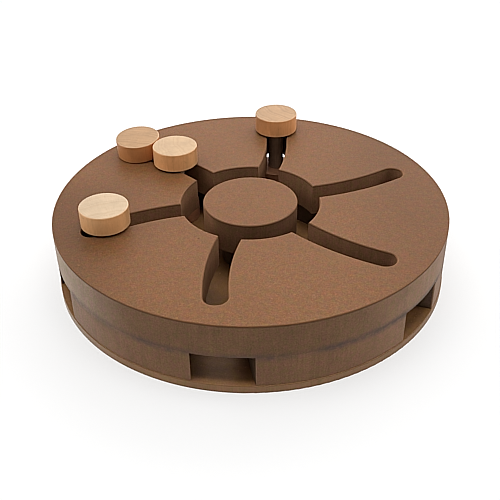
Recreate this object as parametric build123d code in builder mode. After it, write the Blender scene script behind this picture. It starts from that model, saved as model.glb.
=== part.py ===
from build123d import *
import math
import os

# Round puzzle feeder: a slotted upper board on six wedge blocks and a base
# plate, with four loose pucks.  Each puck is a spool: a head above the board, a
# dowel stem that runs in a curved slot, and a foot that runs in the tunnel below.
# Millimetres, +Z up, origin at the centre of the underside.  -Y is the front.

# ---- layers -----------------------------------------------------------------
board_r = 145.0        # upper board and wedge blocks, outside radius
base_r = 145.6         # base plate stands out a hair
base_t = 6.0           # base plate thickness
layer_t = 23.5         # wedge block height = height of the side openings
board_t = 25.0         # upper board thickness
z_floor = base_t                   # top of the base plate
z_under = z_floor + layer_t        # underside of the upper board
z_top = z_under + board_t          # top of the upper board
arris = 0.7            # softened top edges of board and disc
base_arris = 0.5

# ---- ring channel -----------------------------------------------------------
disc_r = 35.0          # centre disc
ring_r = 51.7          # outer wall of the ring channel
post_r = 22.0          # post under the centre disc, narrow enough for the feet to pass

# ---- curved slots (six, 60 degrees apart) -----------------------------------
arc_x, arc_y = 11.34, 185.70   # centre of the first slot's arc
arc_r = 178.2                  # radius of the slot's centreline
slot_w = 16.6                  # slot width
slot_in_deg = 279.5            # centreline start, inside the ring channel
slot_out_deg = 304.1           # centre of the round outer end
slot_count = 6

# ---- tunnels below the slots ------------------------------------------------
tunnel_w = 39.0                # tunnel width, on the same arc as the slot
core_r = 62.0                  # open middle of the lower layer, where the feet go round
block_corner = 2.5             # rounded inner corners of the blocks
block_arris = 0.5              # softened edges at the side openings

# ---- pucks ------------------------------------------------------------------
head_r = 17.5
head_t = 14.8
head_round = 0.9       # top edge
head_under = 0.6       # chamfer under the head
head_gap = 1.5         # head above the board while the foot stands on the floor
foot_r = 17.0
foot_t = 14.2
foot_round = 0.6       # edges of the foot
foot_gap = 0.3         # running clearance above the tunnel floor
stem_r = 6.35          # half-inch dowel
stem_in = 9.0          # stem inside the head, and inside the foot
stem_fit = 0.05        # radial clearance of head and foot on the stem
stem_tip = 0.4
spool_len = z_top + head_gap - z_floor - foot_gap    # underside of head to underside of foot

# ---- screws from below ------------------------------------------------------
screw_r = 2.0
screw_len = 45.0
screw_head_r = 3.9
screw_recess = 0.2     # heads sit just below the underside
screw_clear_r = 2.1
screw_pilot_r = 1.7
screw_pilot_depth = 16.5
block_screws = [(80.0, 45.0), (125.0, 50.0)]   # radius, angle in the first block
post_screws = [(11.0, 0.0), (-11.0, 0.0)]

os.makedirs("parts", exist_ok=True)


def polar(r, deg):
    return (r * math.cos(math.radians(deg)), r * math.sin(math.radians(deg)))


def turned(xy, deg):
    c, s = math.cos(math.radians(deg)), math.sin(math.radians(deg))
    return (xy[0] * c - xy[1] * s, xy[0] * s + xy[1] * c)


# centrelines of the first slot and of the tunnel below it
slot_path = CenterArc((arc_x, arc_y), arc_r, slot_in_deg, slot_out_deg - slot_in_deg)
tunnel_path = CenterArc((arc_x, arc_y), arc_r, 274.0, 48.0)

# every screw position, seen from above
screw_xy = [polar(r, a + 60.0 * k) for k in range(6) for r, a in block_screws] + post_screws

# ---- base plate -------------------------------------------------------------
with BuildPart() as base_plate:
    with BuildSketch(Plane.XY):
        Circle(base_r)
    extrude(amount=base_t)
    fillet(base_plate.edges().filter_by(GeomType.CIRCLE), radius=base_arris)
    with Locations(*[Location((x, y, 0), (180, 0, 0)) for x, y in screw_xy]):
        CounterSinkHole(screw_clear_r, screw_head_r + 0.6, depth=base_t, counter_sink_angle=90)
base_plate.part.label = "base_plate"
export_step(base_plate.part, "parts/base_plate.step")

# ---- wedge blocks of the middle layer ---------------------------------------
for k in range(6):
    turn = 60.0 * k
    plane = Plane(origin=(0, 0, z_floor), x_dir=(*polar(1.0, turn), 0), z_dir=(0, 0, 1))
    with BuildPart() as spacer_block:
        with BuildSketch(plane):
            Circle(board_r)
            Circle(core_r, mode=Mode.SUBTRACT)
            with PolarLocations(0, 2, start_angle=0, angular_range=120):
                SlotArc(tunnel_path, tunnel_w, mode=Mode.SUBTRACT)
            Polygon((0, 0), polar(230, 22), polar(260, 53), polar(230, 84),
                    align=None, mode=Mode.INTERSECT)
        extrude(amount=layer_t)
        uprights = spacer_block.edges().filter_by(Axis.Z).sort_by(
            lambda e: e.center().X ** 2 + e.center().Y ** 2)
        fillet(uprights[:2], radius=block_corner)
        uprights = spacer_block.edges().filter_by(Axis.Z).sort_by(
            lambda e: e.center().X ** 2 + e.center().Y ** 2)
        chamfer(uprights[-2:], length=block_arris)
        with Locations(*[(*polar(r, a + turn), z_under) for r, a in block_screws]):
            Hole(screw_clear_r, depth=layer_t)
    name = f"spacer_block_{k + 1}"
    spacer_block.part.label = name
    export_step(spacer_block.part, f"parts/{name}.step")

# ---- upper board with ring opening and slots --------------------------------
with BuildPart() as top_board:
    with BuildSketch(Plane.XY.offset(z_under)):
        Circle(board_r)
        Circle(ring_r, mode=Mode.SUBTRACT)
        with PolarLocations(0, slot_count):
            SlotArc(slot_path, slot_w, mode=Mode.SUBTRACT)
    extrude(amount=board_t)
    chamfer(top_board.faces().sort_by(Axis.Z)[-1].edges(), length=arris)
    with Locations(*[Location((x, y, z_under), (180, 0, 0)) for x, y in screw_xy[:12]]):
        Hole(screw_pilot_r, depth=screw_pilot_depth)
top_board.part.label = "top_board"
export_step(top_board.part, "parts/top_board.step")

# ---- post and centre disc ---------------------------------------------------
with BuildPart() as centre_post:
    with BuildSketch(Plane.XY.offset(z_floor)):
        Circle(post_r)
    extrude(amount=layer_t)
    with Locations(*[(x, y, z_under) for x, y in post_screws]):
        Hole(screw_clear_r, depth=layer_t)
centre_post.part.label = "centre_post"
export_step(centre_post.part, "parts/centre_post.step")

with BuildPart() as centre_disc:
    with BuildSketch(Plane.XY.offset(z_under)):
        Circle(disc_r)
    extrude(amount=board_t)
    chamfer(centre_disc.faces().sort_by(Axis.Z)[-1].edges(), length=arris)
    with Locations(*[Location((x, y, z_under), (180, 0, 0)) for x, y in post_screws]):
        Hole(screw_pilot_r, depth=screw_pilot_depth)
centre_disc.part.label = "centre_disc"
export_step(centre_disc.part, "parts/centre_disc.step")

# ---- countersunk wood screws, all alike -------------------------------------
with BuildPart() as base_screws:
    for x, y in screw_xy:
        with BuildSketch(Plane(origin=(x, y, 0), x_dir=(1, 0, 0), z_dir=(0, -1, 0))):
            with BuildLine():
                Polyline(
                    (0, screw_recess),
                    (screw_head_r, screw_recess),
                    (screw_head_r, screw_recess + 0.3),
                    (screw_r, screw_recess + 0.3 + screw_head_r - screw_r),
                    (screw_r, screw_recess + screw_len - 4.0),
                    (0.3, screw_recess + screw_len),
                    (0, screw_recess + screw_len),
                    close=True,
                )
            make_face()
        revolve(axis=Axis((x, y, 0), (0, 0, 1)), revolution_arc=360)
    # cross recess in every head
    with BuildSketch(Plane.XY.offset(screw_recess)):
        with Locations(*screw_xy):
            Rectangle(4.4, 0.9)
            Rectangle(0.9, 4.4)
    extrude(amount=1.4, mode=Mode.SUBTRACT)
base_screws.part.label = "base_screws"
export_step(base_screws.part, "parts/base_screws.step")

# ---- pucks ------------------------------------------------------------------
# name: slot turn, arc angle, offset off the slot's centreline (positive is away
# from the arc's centre), lean angle, lean azimuth, and how much further than the
# others its head is pressed down its stem
pucks = {
    "left": (180.0, 300.63, 1.5, 0.0, 0.0, 0.0),
    "inner": (120.0, 292.92, -0.4, 0.0, 0.0, 0.0),
    "outer": (120.0, 304.39, -1.4, 4.0, 236.0, 1.2),
    "back": (60.0, 304.41, 0.4, 0.0, 0.0, 0.0),
}

for name, (turn, arc_deg, off, lean, lean_az, drop) in pucks.items():
    px, py = polar(arc_r + off, arc_deg)
    px, py = turned((arc_x + px, arc_y + py), turn)
    # unit vector along the stem, and the middle of the head's underside
    ux, uy = polar(math.sin(math.radians(lean)), lean_az)
    uz = math.cos(math.radians(lean))
    # a leaning spool stands on the low edge of its foot
    z_sole = z_floor + foot_gap + foot_r * math.sin(math.radians(lean))
    rise = (z_sole - z_top) / uz + spool_len - drop
    seat = Plane(origin=(px + ux * rise, py + uy * rise, z_top + uz * rise),
                 x_dir=(uz, 0, -ux), z_dir=(ux, uy, uz))
    sole = seat.offset(drop - spool_len)

    with BuildPart() as puck_head:
        with BuildSketch(seat):
            Circle(head_r)
        extrude(amount=head_t)
        caps = puck_head.faces().filter_by(GeomType.PLANE).sort_by(Axis.Z)
        chamfer(caps[0].edges(), length=head_under)
        caps = puck_head.faces().filter_by(GeomType.PLANE).sort_by(Axis.Z)
        fillet(caps[-1].edges(), radius=head_round)
        with BuildSketch(seat):
            Circle(stem_r + stem_fit)
        extrude(amount=stem_in + drop + 0.1, mode=Mode.SUBTRACT)
    puck_head.part.label = f"puck_head_{name}"
    export_step(puck_head.part, f"parts/puck_head_{name}.step")

    with BuildPart() as puck_foot:
        with BuildSketch(sole):
            Circle(foot_r)
        extrude(amount=foot_t)
        fillet(puck_foot.edges().filter_by(GeomType.CIRCLE), radius=foot_round)
        with BuildSketch(sole.offset(foot_t)):
            Circle(stem_r + stem_fit)
        extrude(amount=-(stem_in + 0.1), mode=Mode.SUBTRACT)
    puck_foot.part.label = f"puck_foot_{name}"
    export_step(puck_foot.part, f"parts/puck_foot_{name}.step")

    with BuildPart() as puck_stem:
        with BuildSketch(sole.offset(foot_t - stem_in)):
            Circle(stem_r)
        extrude(amount=spool_len - foot_t + 2 * stem_in)
        ends = puck_stem.faces().filter_by(GeomType.PLANE)
        chamfer(ends.edges(), length=stem_tip)
    puck_stem.part.label = f"puck_stem_{name}"
    export_step(puck_stem.part, f"parts/puck_stem_{name}.step")
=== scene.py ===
import math

import bpy
from mathutils import Matrix, Vector


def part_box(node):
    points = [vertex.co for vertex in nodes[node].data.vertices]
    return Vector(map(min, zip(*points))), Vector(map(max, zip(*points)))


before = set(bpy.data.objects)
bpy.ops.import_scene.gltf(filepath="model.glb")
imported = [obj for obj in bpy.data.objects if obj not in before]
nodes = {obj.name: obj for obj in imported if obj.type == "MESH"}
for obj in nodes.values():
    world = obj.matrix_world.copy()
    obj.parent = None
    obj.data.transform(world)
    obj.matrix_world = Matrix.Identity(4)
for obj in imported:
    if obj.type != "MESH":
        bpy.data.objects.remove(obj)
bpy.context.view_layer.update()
scene = bpy.context.scene

# Heights and radii of the layers, in metres.
SEAM_Z = 0.0295        # underside of the upper board
TOP_Z = 0.0545         # top of the upper board
RIM_R = 0.145          # outside of the board and the blocks


# ---- small helpers for building node materials --------------------------------
class Finish:
    """One procedural material, built on a Principled shader."""

    def __init__(self, name):
        self.mat = bpy.data.materials.new(name)
        self.mat.use_nodes = True
        self.tree = self.mat.node_tree
        self.tree.nodes.clear()
        self.out = self.node("ShaderNodeOutputMaterial")
        self.bsdf = self.node("ShaderNodeBsdfPrincipled")
        self.tree.links.new(self.bsdf.outputs["BSDF"], self.out.inputs["Surface"])
        coord = self.node("ShaderNodeTexCoord")
        self.p = coord.outputs["Object"]
        self.n = coord.outputs["Normal"]

    def node(self, kind):
        return self.tree.nodes.new(kind)

    def put(self, socket, value):
        if isinstance(value, bpy.types.NodeSocket):
            self.tree.links.new(value, socket)
        else:
            socket.default_value = value

    def math(self, op, a, b=0.0, clamp=False):
        n = self.node("ShaderNodeMath")
        n.operation = op
        n.use_clamp = clamp
        self.put(n.inputs[0], a)
        self.put(n.inputs[1], b)
        return n.outputs[0]

    def vmath(self, op, a, b=(0.0, 0.0, 0.0)):
        n = self.node("ShaderNodeVectorMath")
        n.operation = op
        self.put(n.inputs[0], a)
        self.put(n.inputs[1], b)
        return n.outputs["Value"] if op in ("LENGTH", "DOT_PRODUCT", "DISTANCE") else n.outputs["Vector"]

    def xyz(self, v):
        n = self.node("ShaderNodeSeparateXYZ")
        self.put(n.inputs[0], v)
        return n.outputs[0], n.outputs[1], n.outputs[2]

    def vec(self, x, y, z):
        n = self.node("ShaderNodeCombineXYZ")
        for s, v in zip(n.inputs, (x, y, z)):
            self.put(s, v)
        return n.outputs[0]

    def turned(self, v, angle, origin=(0.0, 0.0, 0.0)):
        """v in a frame at origin, turned about Z by angle."""
        n = self.node("ShaderNodeVectorRotate")
        n.rotation_type = "Z_AXIS"
        self.put(n.inputs["Vector"], self.vmath("SUBTRACT", v, origin))
        n.inputs["Angle"].default_value = -angle
        return n.outputs[0]

    def noise(self, v, scale, detail=2.0, rough=0.5, warp=0.0):
        """Noise whose cells are 1 / scale metres; scale may differ along X, Y and Z."""
        n = self.node("ShaderNodeTexNoise")
        s = scale if isinstance(scale, (tuple, list)) else (scale,) * 3
        self.put(n.inputs["Vector"], self.vmath("MULTIPLY", v, s))
        n.inputs["Scale"].default_value = 1.0
        n.inputs["Detail"].default_value = detail
        n.inputs["Roughness"].default_value = rough
        n.inputs["Distortion"].default_value = warp
        return n.outputs["Fac"]

    def span(self, v, a, b, lo=0.0, hi=1.0, smooth=True):
        """v mapped from a..b to lo..hi, held at both ends."""
        n = self.node("ShaderNodeMapRange")
        n.interpolation_type = "SMOOTHSTEP" if smooth else "LINEAR"
        n.clamp = True
        self.put(n.inputs["Value"], v)
        n.inputs["From Min"].default_value = a
        n.inputs["From Max"].default_value = b
        n.inputs["To Min"].default_value = lo
        n.inputs["To Max"].default_value = hi
        return n.outputs["Result"]

    def mix(self, fac, a, b, blend="MIX"):
        n = self.node("ShaderNodeMix")
        n.data_type = "RGBA"
        n.blend_type = blend
        n.clamp_factor = True
        self.put(n.inputs[0], fac)
        for s, v in ((n.inputs[6], a), (n.inputs[7], b)):
            self.put(s, (*v, 1.0) if isinstance(v, tuple) and len(v) == 3 else v)
        return n.outputs[2]

    def tint(self, colour, value):
        """colour multiplied by a grey value around 1."""
        return self.mix(1.0, colour, self.vec(value, value, value), "MULTIPLY")

    def bump(self, height, strength, distance, normal=None):
        n = self.node("ShaderNodeBump")
        n.inputs["Strength"].default_value = strength
        n.inputs["Distance"].default_value = distance
        self.put(n.inputs["Height"], height)
        if normal is not None:
            self.put(n.inputs["Normal"], normal)
        return n.outputs["Normal"]

    def set(self, **values):
        for key, value in values.items():
            self.put(self.bsdf.inputs[key.replace("_", " ")], value)


def fibre_speckle(f):
    """Pressed wood fibre: short hairs lying every way, about 0 to 1."""
    hairs = None
    for k in range(3):
        v = f.turned(f.p, math.radians(25 + 60 * k))
        h = f.noise(v, (620.0, 2600.0, 2600.0), 2.0, 0.55, 0.4)
        hairs = h if hairs is None else f.math("MAXIMUM", hairs, h)
    return hairs


def fibreboard(name, top, red, olive, wall, inner, rim=True, gloss=0.52, depth=0.18, sheen=0.16):
    """Stained fibreboard. top, red and olive colour the flat faces, wall the turned
    outside edge and inner the cut faces inside."""
    f = Finish(name)
    x, y, z = f.xyz(f.p)
    nx, ny, nz = f.xyz(f.n)
    flat = f.span(f.math("ABSOLUTE", nz), 0.80, 0.97)
    radius = f.vmath("LENGTH", f.vec(x, y, 0.0))
    outside = f.span(radius, RIM_R - 0.0012, RIM_R - 0.0006)

    # flat faces: broad clouds of stain, then mottling of about a millimetre that
    # runs from reddish to olive, with fibre flecks and pits
    cloud = f.noise(f.p, 13.0, 3.0, 0.55, 0.3)
    patch = f.noise(f.p, 250.0, 4.0, 0.70)
    gold = f.noise(f.vmath("ADD", f.p, (0.31, 0.17, 0.05)), 210.0, 4.0, 0.70)
    blotch = f.noise(f.vmath("ADD", f.p, (0.12, 0.43, 0.08)), 230.0, 3.0, 0.62)
    mottle = f.noise(f.p, 760.0, 3.0, 0.65)
    grit = f.noise(f.p, 1500.0, 2.0, 0.55)
    hairs = fibre_speckle(f)
    face = f.mix(f.span(patch, 0.32, 0.68, 0.0, 1.0, False), olive, red)
    face = f.mix(f.span(gold, 0.32, 0.68, 0.0, 1.0, False),
                 f.mix(1.0, face, (1.0, 1.03, 0.71), "MULTIPLY"), f.mix(1.0, face, (1.0, 0.97, 1.29), "MULTIPLY"))
    face = f.tint(face, f.span(blotch, 0.30, 0.70, 0.93, 1.07, False))
    face = f.tint(face, f.span(cloud, 0.25, 0.75, 0.96, 1.04))
    if not rim:
        # painted shade: the base's top is darker in the middle and down the tunnels
        face = f.tint(face, f.math("MULTIPLY", f.span(radius, 0.034, 0.052, 0.68, 1.0), f.math("MAXIMUM", f.span(radius, 0.080, 0.100, 1.0, 0.64), f.span(radius, 0.116, 0.126, 0.64, 1.0))))
        # painted shade inside the mouths, deeper than on the open strip at the rim, which is painted lighter
        mouth = f.span(radius, 0.1385, 0.1432, 1.0, 0.0)
        face = f.tint(face, f.math("SUBTRACT", f.span(mouth, 0.0, 1.0, 1.10, 1.0), f.math("MULTIPLY", mouth, f.span(radius, 0.1350, 0.1380, 0.0, 0.16))))
        # painted shade: the front mouth is darker towards its right and at its left edge
        front = f.math("MULTIPLY", mouth, f.span(y, -0.110, -0.100, 1.0, 0.0))
        edges = f.math("ADD", f.span(x, -0.0140, -0.0020, 0.0, 0.42), f.span(x, -0.0345, -0.0275, 0.26, 0.0))
        face = f.tint(face, f.math("SUBTRACT", 1.0, f.math("MULTIPLY", front, edges)))
        # painted shade: the base's top is darker towards its right
        face = f.tint(face, f.span(x, 0.080, 0.115, 1.0, 0.72))
    if rim:
        # painted shade: the top is darker at the front left, where the left puck's shadow falls, and darker towards
        # its right
        front_left_shade = f.math("MULTIPLY", f.span(x, -0.125, -0.050, 0.30, 0.0), f.span(y, -0.005, 0.055, 1.0, 0.10))
        face = f.tint(face, f.math("MULTIPLY", f.math("SUBTRACT", 1.0, front_left_shade), f.span(x, 0.050, 0.120, 1.0, 0.82)))
    face = f.tint(face, f.span(mottle, 0.28, 0.72, 1.0 - depth, 1.0 + depth, False))
    face = f.tint(face, f.span(grit, 0.28, 0.72, 1.0 - depth, 1.0 + depth, False))
    face = f.tint(face, f.span(hairs, 0.42, 0.78, 0.93, 1.16))
    if rim:
        # painted highlight: a thin pale line on the far sides of the cuts, where the face turns down
        soft = f.node("ShaderNodeBevel")
        soft.samples = 6
        soft.inputs["Radius"].default_value = 0.0014
        sx, sy, sz = f.xyz(soft.outputs[0])
        far_edge_highlight = f.math("MULTIPLY", f.span(sz, 0.95, 0.999, 1.0, 0.0), f.span(sy, -0.10, 0.02))
        face = f.mix(f.math("MULTIPLY", far_edge_highlight, 0.90), face, tuple(1.5 * c for c in top))
    pits = f.noise(f.p, 900.0, 2.0, 0.5)
    face = f.mix(f.span(pits, 0.69, 0.78, 0.0, 0.6), face, tuple(0.4 * c for c in top))
    fleck = f.noise(f.p, (700.0, 520.0, 600.0), 1.0, 0.5)
    face = f.mix(f.span(fleck, 0.70, 0.80, 0.0, 0.42), face, tuple(1.55 * c for c in top))
    # one dark speck in the board
    face = f.mix(f.span(f.vmath("DISTANCE", f.p, (-0.0362, -0.0500, TOP_Z)), 0.0004, 0.0011, 0.6, 0.0), face, tuple(0.3 * c for c in top))

    # upright faces: fine strokes of the cutter, standing along Z
    strokes = f.noise(f.p, (1100.0, 1100.0, 38.0), 2.0, 0.6)
    broad = f.noise(f.p, (210.0, 210.0, 14.0), 3.0, 0.6)
    grime = f.noise(f.p, (60.0, 60.0, 80.0), 4.0, 0.6)
    hue = f.noise(f.p, 270.0, 3.0, 0.65)
    outer = wall
    if rim:
        # painted reflection: the outside is paler and greyer at the feeder's two sides, most of all on the left
        upper = f.span(z, SEAM_Z - 0.004, SEAM_Z + 0.002, 0.55, 1.0)
        outer = f.mix(f.math("MULTIPLY", f.span(nx, -0.98, -0.48, 1.0, 0.0), f.span(upper, 0.55, 1.0, 0.34, 1.0)), outer, (2.32 * wall[0], 3.28 * wall[1], 4.95 * wall[2]))
        outer = f.mix(f.math("MULTIPLY", f.span(nx, 0.32, 0.86), upper), outer, (1.61 * wall[0], 1.78 * wall[1], 2.07 * wall[2]))
    else:
        # painted reflection: the base plate's outside is paler and greyer on the left
        outer = f.mix(f.span(nx, -0.98, -0.55, 1.0, 0.0), outer, (1.45 * wall[0], 2.0 * wall[1], 3.3 * wall[2]))
    side = f.mix(outside, inner, outer)
    if rim:
        # painted shade: faces in the tunnels that look to the left are darkened
        tunnel = f.math("MULTIPLY", f.span(outside, 0.0, 1.0, 1.0, 0.0), f.span(z, SEAM_Z - 0.0006, SEAM_Z - 0.0001, 1.0, 0.0))
        side = f.tint(side, f.math("ADD", 1.0, f.math("MULTIPLY", tunnel, f.span(nx, -0.95, -0.40, -0.22, 0.0))))
    side = f.mix(f.span(hue, 0.34, 0.66, 0.0, 1.0, False),
                 f.mix(1.0, side, (0.915, 1.025, 0.82), "MULTIPLY"), f.mix(1.0, side, (1.12, 0.955, 1.16), "MULTIPLY"))
    side = f.tint(side, f.span(strokes, 0.28, 0.72, 0.93, 1.07, False))
    side = f.tint(side, f.span(broad, 0.3, 0.7, 0.95, 1.05, False))
    side = f.tint(side, f.span(mottle, 0.28, 0.72, 1.0 - 0.72 * depth, 1.0 + 0.72 * depth, False))
    side = f.tint(side, f.span(grit, 0.28, 0.72, 1.0 - 0.72 * depth, 1.0 + 0.72 * depth, False))
    side = f.tint(side, f.span(grime, 0.3, 0.7, 0.94, 1.06))
    if rim:
        # painted light and shade: the disc's wall is paler at its left and darker elsewhere
        disc = f.span(radius, 0.0356, 0.0362, 1.0, 0.0)
        side = f.tint(side, f.math("ADD", 1.0, f.math("MULTIPLY", disc, f.span(nx, -0.90, -0.62, 0.27, -0.28))))
        # painted shade: the far faces of the slot at the right and the left face of the front slot are darkened
        cut = f.math("MULTIPLY", f.span(outside, 0.0, 1.0, 1.0, 0.0), f.span(z, SEAM_Z - 0.0006, SEAM_Z, 0.0, 1.0))
        slot_face_shade = f.math("MULTIPLY", f.span(x, 0.045, 0.085), f.math("MULTIPLY", f.span(y, -0.030, -0.010, 1.0, 0.0), f.span(ny, -0.70, -0.30, 1.0, 0.0)))
        slot_face_shade = f.math("MAXIMUM", slot_face_shade, f.math("MULTIPLY", f.span(y, -0.080, -0.050, 1.0, 0.0), f.span(nx, 0.40, 0.80)))
        side = f.tint(side, f.math("SUBTRACT", 1.0, f.math("MULTIPLY", f.math("MULTIPLY", cut, slot_face_shade), 0.19)))
        # the glued joint between the layers: a dark, smudged band that comes and goes
        wander = f.noise(f.p, (30.0, 30.0, 5.0), 3.0, 0.55)
        above = f.math("ADD", f.math("SUBTRACT", z, SEAM_Z), f.span(wander, 0.2, 0.8, -0.0009, 0.0009, False))
        near = f.span(f.math("ABSOLUTE", above), 0.0, 0.0050, 1.0, 0.0)
        worn = f.span(f.noise(f.p, (22.0, 22.0, 3.0), 3.0, 0.6), 0.38, 0.62, 0.35, 1.0)
        smear = f.span(f.noise(f.p, (260.0, 260.0, 320.0), 3.0, 0.6), 0.25, 0.65, 0.45, 1.0)
        seam = f.math("MULTIPLY", f.math("MULTIPLY", near, worn), f.math("MULTIPLY", smear, outside))
        side = f.mix(f.math("MULTIPLY", seam, 0.74), side, (0.058, 0.045, 0.046))
        # a thin dark line under the top edges: partly stain gathered there, partly painted shade, strongest on faces
        # that look to the front
        lip = f.math("MULTIPLY", f.span(z, TOP_Z - 0.0018, TOP_Z - 0.0009), f.span(ny, -0.45, -0.15, 1.0, 0.2))
        side = f.mix(f.math("MULTIPLY", lip, 0.52), side, tuple(0.30 * c for c in top))
    else:
        # painted shade: a dark line along the foot of the base plate, where it meets the floor
        base_foot_shade = f.span(z, 0.0003, 0.0013, 0.28, 0.0)
        side = f.mix(base_foot_shade, side, (0.125, 0.105, 0.098))

    colour = f.mix(flat, side, face)
    # arrises: painted highlight where they meet the face and on those that do not look to the front, painted shade
    # below it
    edge = f.math("MULTIPLY", f.span(nz, 0.30, 0.55), f.span(nz, 0.80, 0.95, 1.0, 0.0))
    arris_patches = f.span(f.noise(f.p, 160.0, 3.0, 0.6), 0.3, 0.7, 0.45, 0.9)
    bevel = f.mix(f.span(z, TOP_Z - 0.00055, TOP_Z - 0.00020), tuple(0.48 * c for c in top), tuple(1.30 * c for c in top))
    bevel = f.mix(f.span(ny, -0.45, -0.15), bevel, tuple(1.35 * c for c in top))
    colour = f.mix(f.math("MULTIPLY", edge, arris_patches), colour, bevel)

    rough_top = f.span(mottle, 0.25, 0.75, gloss - 0.05, gloss + 0.07)
    rough_side = f.span(strokes, 0.25, 0.75, gloss - 0.08, gloss + 0.06)
    rough = f.mix(flat, f.vec(rough_side, rough_side, rough_side), f.vec(rough_top, rough_top, rough_top))
    height = f.mix(flat, f.vec(strokes, strokes, strokes), f.vec(hairs, hairs, hairs))
    normal = f.bump(height, 0.22, 0.00012)
    normal = f.bump(mottle, 0.10, 0.00022, normal)
    f.set(Base_Color=colour, Roughness=rough, Normal=normal)
    f.bsdf.inputs["IOR"].default_value = 1.46
    f.bsdf.inputs["Specular IOR Level"].default_value = sheen
    return f.mat


def beech(name, centre, pith, top, side, dark, grain, side_end_shading):
    """Slice of a beech rod: end grain on top with year rings round a pith to one side
    and fine rays across them, and the fibres upright on the turned side."""
    f = Finish(name)
    nx, ny, nz = f.xyz(f.n)
    local = f.vmath("SUBTRACT", f.p, centre)
    x, y, z = f.xyz(local)
    wander = f.noise(local, (45.0, 45.0, 14.0), 3.0, 0.55)
    bend = f.span(wander, 0.2, 0.8, -0.0030, 0.0030, False)
    px, py = f.math("SUBTRACT", x, pith[0]), f.math("SUBTRACT", y, pith[1])
    ring_r = f.math("ADD", f.vmath("LENGTH", f.vec(px, py, 0.0)), bend)
    rings = f.noise(f.vec(ring_r, 0.0, 0.0), (400.0, 1.0, 1.0), 2.0, 0.55)
    # rays: thin lines that point at the pith, short along the fibres
    around = f.math("MULTIPLY", f.math("ARCTAN2", py, px), math.hypot(*pith))
    rays = f.noise(f.vec(around, ring_r, z), (1900.0, 110.0, 260.0), 2.0, 0.55)
    fibres = f.noise(local, (1300.0, 1300.0, 50.0), 3.0, 0.6)
    pores = f.noise(local, (3000.0, 3000.0, 420.0), 1.0, 0.5)
    blush = f.noise(local, (80.0, 80.0, 55.0), 3.0, 0.6)

    up = f.span(nz, 0.55, 0.95)
    # painted light and shade: the turned side is lighter or darker at its two ends
    side_shading = f.math("MULTIPLY", f.span(nx, -0.95, -0.15, side_end_shading[0], 1.0), f.span(nx, 0.78, 1.0, 1.0, side_end_shading[1]))
    colour = f.mix(up, f.tint(side, side_shading), top)
    colour = f.tint(colour, f.span(blush, 0.28, 0.72, 0.93, 1.07))
    colour = f.mix(f.math("MULTIPLY", f.span(rings, 0.42, 0.70, 0.0, 1.0), f.span(up, 0.0, 1.0, 0.12, grain)), colour, dark)
    colour = f.tint(colour, f.span(fibres, 0.25, 0.75, 0.97, 1.03, False))
    colour = f.tint(colour, f.span(rays, 0.30, 0.70, 1.03, 0.97, False))
    colour = f.mix(f.span(rays, 0.66, 0.78, 0.0, 0.28), colour, dark)
    colour = f.tint(colour, f.span(pores, 0.60, 0.78, 1.0, 0.90))
    # painted shade: the underside and the bottom chamfer are darkened, deepening the dark line under the head
    colour = f.mix(f.span(nz, -0.70, -0.30, 0.85, 0.0), colour, tuple(0.25 * c for c in dark))
    # painted highlight: the rounded top edge is pale
    rim = f.math("MULTIPLY", f.span(nz, 0.15, 0.50), f.span(nz, 0.93, 0.995, 1.0, 0.0))
    colour = f.mix(f.math("MULTIPLY", rim, 0.32), colour, (0.80, 0.58, 0.38))

    rough = f.span(fibres, 0.25, 0.75, 0.40, 0.52)
    normal = f.bump(fibres, 0.10, 0.00010)
    normal = f.bump(rays, 0.06, 0.00010, normal)
    f.set(Base_Color=colour, Roughness=rough, Normal=normal)
    f.bsdf.inputs["IOR"].default_value = 1.47
    return f.mat


def dark_dowel(name):
    """Stained dowel: straight fibres along the stem."""
    f = Finish(name)
    fibres = f.noise(f.p, (1500.0, 1500.0, 45.0), 3.0, 0.6)
    cloud = f.noise(f.p, (120.0, 120.0, 40.0), 3.0, 0.6)
    colour = f.mix(f.span(fibres, 0.30, 0.70, 0.0, 1.0, False), (0.340, 0.235, 0.155), (0.510, 0.355, 0.240))
    colour = f.tint(colour, f.span(cloud, 0.3, 0.7, 0.85, 1.15))
    f.set(Base_Color=colour, Roughness=f.span(fibres, 0.3, 0.7, 0.42, 0.56), Normal=f.bump(fibres, 0.25, 0.00015))
    return f.mat


def foot_stain(name):
    """Turned wood disc under a dark reddish stain: level fibres, rings of the cutter."""
    f = Finish(name)
    fibres = f.noise(f.p, (60.0, 1100.0, 1100.0), 3.0, 0.6)
    cloud = f.noise(f.p, 70.0, 3.0, 0.6)
    pores = f.noise(f.p, (420.0, 3000.0, 3000.0), 1.0, 0.5)
    colour = f.mix(f.span(fibres, 0.30, 0.70, 0.0, 1.0, False), (0.40, 0.175, 0.088), (0.54, 0.250, 0.130))
    colour = f.tint(colour, f.span(cloud, 0.3, 0.7, 0.88, 1.12))
    colour = f.tint(colour, f.span(pores, 0.58, 0.76, 1.0, 0.75))
    f.set(Base_Color=colour, Roughness=f.span(fibres, 0.3, 0.7, 0.45, 0.58), Normal=f.bump(fibres, 0.2, 0.00015))
    f.bsdf.inputs["Specular IOR Level"].default_value = 0.3
    return f.mat


def screw_steel(name):
    """Zinc-plated steel, dulled and faintly yellow."""
    f = Finish(name)
    scratch = f.noise(f.p, (900.0, 5200.0, 2600.0), 3.0, 0.6)
    stain = f.noise(f.p, 260.0, 4.0, 0.6)
    colour = f.mix(f.span(stain, 0.35, 0.7), (0.62, 0.60, 0.55), (0.47, 0.42, 0.33))
    f.set(Base_Color=colour, Roughness=f.span(scratch, 0.25, 0.75, 0.24, 0.44), Normal=f.bump(scratch, 0.08, 0.00006))
    f.bsdf.inputs["Metallic"].default_value = 1.0
    return f.mat


def dress(node, material):
    mesh = nodes[node].data
    mesh.materials.clear()
    mesh.materials.append(material)
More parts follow.
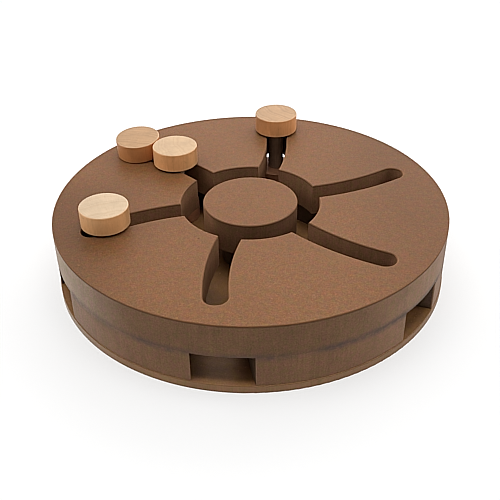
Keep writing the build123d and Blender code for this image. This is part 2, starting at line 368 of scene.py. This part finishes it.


# ---- finishes -------------------------------------------------------------------
# board: its cut faces inside are given a paler tone than its top, painted light
board = fibreboard(
    "board_stain",
    top=(0.190, 0.0812, 0.0308), red=(0.210, 0.0752, 0.0308), olive=(0.169, 0.0870, 0.0296),
    wall=(0.156, 0.081, 0.038), inner=(0.227, 0.122, 0.063))
# blocks: their cut faces in the tunnels are given a far darker tone than their outside, painted shade
block = fibreboard(
    "block_stain",
    top=(0.150, 0.082, 0.046), red=(0.158, 0.079, 0.046), olive=(0.141, 0.082, 0.044),
    wall=(0.184, 0.095, 0.046), inner=(0.094, 0.057, 0.033))
base = fibreboard(
    "base_stain",
    top=(0.285, 0.142, 0.054), red=(0.300, 0.138, 0.055), olive=(0.266, 0.142, 0.050),
    wall=(0.245, 0.128, 0.052), inner=(0.135, 0.078, 0.045), rim=False, gloss=0.46, depth=0.06, sheen=0.30)
for n in ("top_board", "centre_disc"):
    dress(n, board)
dress("centre_post", block)
for k in range(1, 7):
    dress(f"spacer_block_{k}", block)
dress("base_plate", base)
dress("base_screws", screw_steel("screw_steel"))

stem_mat = dark_dowel("dark_dowel")
foot_mat = foot_stain("foot_stain")
# head: place of the pith from its axis, tone of the wood on top, round the side (partly painted light: warmer and more
# orange than the top, standing in for light thrown up from the board) and in the late rings, strength of the rings,
# painted light and shade at the two ends of the side
heads = {
    "left": ((0.019, -0.052), (0.507, 0.361, 0.220), (0.81, 0.432, 0.186), (0.42, 0.245, 0.125), 0.23, (1.0, 0.66)),
    "inner": ((0.058, 0.014), (0.492, 0.314, 0.160), (0.88, 0.447, 0.184), (0.39, 0.208, 0.096), 0.25, (1.04, 0.62)),
    "outer": ((-0.012, -0.064), (0.400, 0.212, 0.078), (0.57, 0.247, 0.086), (0.21, 0.094, 0.034), 0.30, (1.10, 1.0)),
    "back": ((0.045, 0.032), (0.418, 0.227, 0.090), (0.80, 0.368, 0.143), (0.22, 0.105, 0.042), 0.34, (0.68, 1.0)),
}
for name, (pith, top, side, dark, grain, side_end_shading) in heads.items():
    lo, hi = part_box(f"puck_head_{name}")
    centre = tuple((lo + hi) / 2)
    dress(f"puck_head_{name}", beech(f"beech_{name}", centre, pith, top, side, dark, grain, side_end_shading))
    dress(f"puck_stem_{name}", stem_mat)
    dress(f"puck_foot_{name}", foot_mat)

# ---- floor ------------------------------------------------------------------------
floor_mesh = bpy.data.meshes.new("floor")
half = 6.0
floor_mesh.from_pydata([(-half, -half, 0), (half, -half, 0), (half, half, 0), (-half, half, 0)], [], [(0, 1, 2, 3)])
floor = bpy.data.objects.new("floor", floor_mesh)
scene.collection.objects.link(floor)
floor.location.z = -0.0002
paper = Finish("floor_paper")
paper.set(Base_Color=(0.36, 0.36, 0.358, 1.0), Roughness=0.9, Emission_Color=(1.0, 1.0, 1.0, 1.0), Emission_Strength=0.572)
paper.bsdf.inputs["Specular IOR Level"].default_value = 0.1
floor_mesh.materials.append(paper.mat)

# ---- light ------------------------------------------------------------------------
world = bpy.data.worlds.new("studio")
scene.world = world
world.use_nodes = True
sky = world.node_tree.nodes["Background"]
sky.inputs["Color"].default_value = (1.0, 1.0, 1.0, 1.0)
# white overhead and behind, a dim room in front
way = world.node_tree.nodes.new("ShaderNodeTexCoord")
lean = world.node_tree.nodes.new("ShaderNodeVectorMath")
lean.operation = "DOT_PRODUCT"
lean.inputs[1].default_value = (0.0, 0.9, 0.5)
ramp = world.node_tree.nodes.new("ShaderNodeMapRange")
for key, value in (("From Min", 0.0), ("From Max", 0.7), ("To Min", 0.20), ("To Max", 0.95)):
    ramp.inputs[key].default_value = value
world.node_tree.links.new(way.outputs["Generated"], lean.inputs[0])
world.node_tree.links.new(lean.outputs["Value"], ramp.inputs["Value"])
world.node_tree.links.new(ramp.outputs["Result"], sky.inputs["Strength"])


def softbox(name, place, aim, size, watts, colour=(1.0, 1.0, 1.0)):
    data = bpy.data.lights.new(name, "AREA")
    data.shape = "RECTANGLE"
    data.size, data.size_y = size
    data.energy = watts
    data.color = colour
    light = bpy.data.objects.new(name, data)
    scene.collection.objects.link(light)
    light.location = place
    light.rotation_mode = "QUATERNION"
    light.rotation_quaternion = (Vector(aim) - Vector(place)).to_track_quat("-Z", "Y")
    return light


softbox("key", (-0.05, -0.16, 1.60), (0.0, 0.0, 0.0), (1.6, 1.0), 12.1)
softbox("back", (0.35, 1.25, 0.95), (0.0, 0.05, 0.0), (2.0, 0.9), 11.5)
softbox("left", (-1.35, -0.28, 0.85), (0.0, 0.0, 0.04), (0.9, 0.7), 5.6)
softbox("right", (1.35, -0.28, 0.85), (0.0, 0.0, 0.04), (0.9, 0.7), 5.0)

# ---- camera -----------------------------------------------------------------------
cam_data = bpy.data.cameras.new("camera")
cam_data.sensor_width = 36.0
cam_data.lens = 57.30
cam_data.clip_start, cam_data.clip_end = 0.02, 60.0
camera = bpy.data.objects.new("camera", cam_data)
scene.collection.objects.link(camera)
pitch, yaw, roll = math.radians(34.69), math.radians(-0.084), math.radians(-0.83)
fwd = Vector((math.sin(yaw) * math.cos(pitch), math.cos(yaw) * math.cos(pitch), -math.sin(pitch)))
right = Vector((math.cos(yaw), -math.sin(yaw), 0.0))
up = right.cross(fwd)
r2 = right * math.cos(roll) + up * math.sin(roll)
u2 = up * math.cos(roll) - right * math.sin(roll)
turn = Matrix((r2, u2, -fwd)).transposed().to_4x4()
camera.matrix_world = Matrix.Translation((0.0, -0.50746, 0.36086)) @ turn
scene.camera = camera
scene.view_settings.view_transform = "Standard"
scene.view_settings.look = "None"

# ---- a touch of sharpening of the brightness, as the camera gives -------------------
scene.use_nodes = True
comp = scene.node_tree
comp.nodes.clear()
taken = comp.nodes.new("CompositorNodeRLayers")
curve = comp.nodes.new("CompositorNodeGamma")
curve.inputs["Gamma"].default_value = 1.0 / 2.2
split = comp.nodes.new("CompositorNodeSeparateColor")
split.mode = "YUV"
crisp = comp.nodes.new("CompositorNodeFilter")
crisp.filter_type = "SHARPEN"
crisp.inputs[0].default_value = 0.175
join = comp.nodes.new("CompositorNodeCombineColor")
join.mode = "YUV"
back = comp.nodes.new("CompositorNodeGamma")
back.inputs["Gamma"].default_value = 2.2
shown = comp.nodes.new("CompositorNodeComposite")
comp.links.new(taken.outputs["Image"], curve.inputs["Image"])
comp.links.new(curve.outputs["Image"], split.inputs[0])
comp.links.new(split.outputs[0], crisp.inputs["Image"])
comp.links.new(crisp.outputs["Image"], join.inputs[0])
comp.links.new(split.outputs[1], join.inputs[1])
comp.links.new(split.outputs[2], join.inputs[2])
comp.links.new(join.outputs[0], back.inputs["Image"])
comp.links.new(back.outputs["Image"], shown.inputs["Image"])
